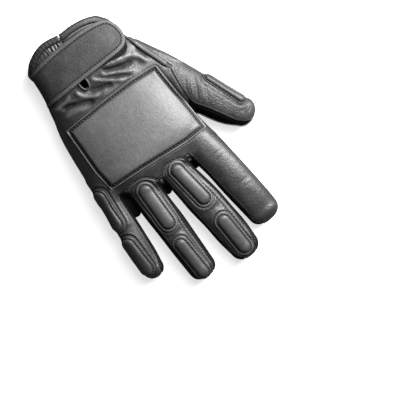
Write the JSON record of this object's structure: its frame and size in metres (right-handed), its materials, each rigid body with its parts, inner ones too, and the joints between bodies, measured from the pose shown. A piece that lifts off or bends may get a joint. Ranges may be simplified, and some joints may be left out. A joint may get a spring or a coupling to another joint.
{
  "type": "padded leather combat glove, right hand",
  "caption": "Black leather right-hand glove lying palm down, with a padded back plate, padded finger ridges, suede palm, wrist strap and an open cuff.",
  "frame": {"origin": "middle of the bottom of the glove's box, on the surface it lies on", "axes": "+Y to the fingertips, -X to the thumb, +Z out of the back of the hand"},
  "size_m": [0.1613, 0.2454, 0.0416],
  "materials": {
    "black_leather": "fine-grained black leather, satin",
    "padded_leather": "smooth black leather over padding, satin sheen",
    "strap_leather": "pebbled synthetic leather, matt",
    "black_suede": "napped black suede, matt",
    "hook_and_loop": "fuzzy loop tape"
  },
  "bodies": {
    "root": {"back_panel": "black_leather", "middle_finger_back": "black_leather", "ring_finger_back": "black_leather", "thumb_back": "black_leather", "side_strip_index_middle": "black_leather", "side_strip_middle_ring": "black_leather", "side_strip_ring_pinky": "black_leather", "palm_panel": "black_leather", "thumb_front": "black_suede", "palm_suede": "black_suede", "back_pad": "padded_leather", "back_pad_rim": "black_leather", "middle_knuckle_pad": "padded_leather", "middle_tip_pad": "padded_leather", "ring_knuckle_pad": "padded_leather", "ring_tip_pad": "padded_leather", "pinky_knuckle_pad": "padded_leather", "pinky_tip_pad": "padded_leather", "thumb_pad": "padded_leather", "cuff_hem": "black_leather", "vent_binding": "black_leather", "strap_patch": "hook_and_loop", "wrist_strap": "strap_leather", "thumb_piping": "black_leather"}
  },
  "joints": []
}
